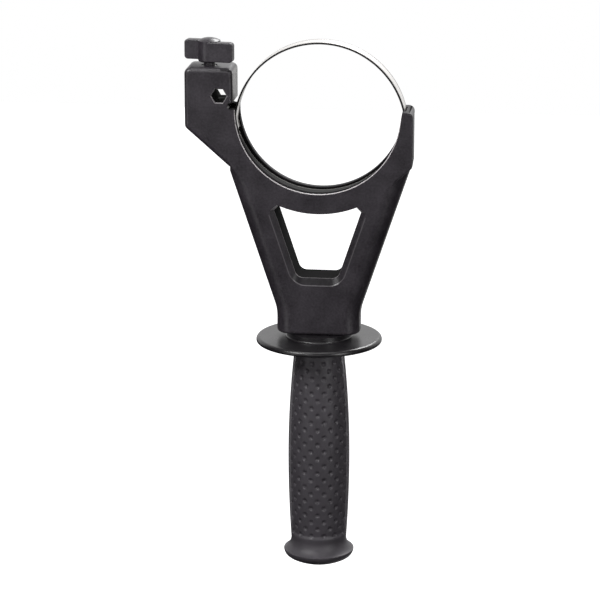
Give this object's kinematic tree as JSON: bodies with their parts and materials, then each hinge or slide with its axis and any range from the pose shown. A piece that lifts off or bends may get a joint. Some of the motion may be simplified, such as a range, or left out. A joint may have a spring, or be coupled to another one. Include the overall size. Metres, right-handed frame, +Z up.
{
  "type": "power tool side handle",
  "caption": "Side handle with a steel band clamp on a forked plastic yoke, a wing knob over a clamp block, a depth stop hole, a hand guard and a dimpled rubber grip.",
  "frame": {"origin": "centre of the clamp ring, halfway through its depth", "axes": "+Z up from the grip to the ring, +X to the right seen from the front, +Y away from the viewer"},
  "size_m": [0.1334, 0.0736, 0.3158],
  "materials": {
    "body_plastic": "charcoal glass-filled plastic with a fine spark-eroded grain",
    "knob_plastic": "charcoal plastic, a little smoother than the yoke",
    "guard_plastic": "charcoal plastic, satin on the guard's top face",
    "grip_rubber": "soft black rubber with two dimpled panels",
    "band_steel": "bright cold-rolled spring steel strip",
    "hardware_steel": "zinc-plated steel"
  },
  "bodies": {
    "frame": {"yoke_frame": "body_plastic", "clamp_band": "band_steel", "thrust_washer": "hardware_steel", "guard_core": "guard_plastic", "grip_sleeve": "grip_rubber", "grip_stud": "hardware_steel", "neck_insert": "hardware_steel"},
    "knob": {"wing_knob": "knob_plastic", "clamp_screw": "hardware_steel"},
    "slider": {"pull_slider": "hardware_steel", "slider_nut": "hardware_steel", "band_pin": "hardware_steel"}
  },
  "joints": [
    {"name": "knob_turn", "type": "hinge", "parent": "frame", "child": "knob", "pos_m": [-0.0637, 0, 0.0243], "axis": [0, 0, 1], "range_deg": [0, 2250]},
    {"name": "slider_travel", "type": "slide", "parent": "frame", "child": "slider", "axis": [0, 0, 1], "range_m": [-0.005, 0], "deforming": ["clamp_band"]}
  ],
  "couplings": [
    {"joint": "slider_travel", "follows": "knob_turn", "m_per_rad": -0.00012732}
  ]
}
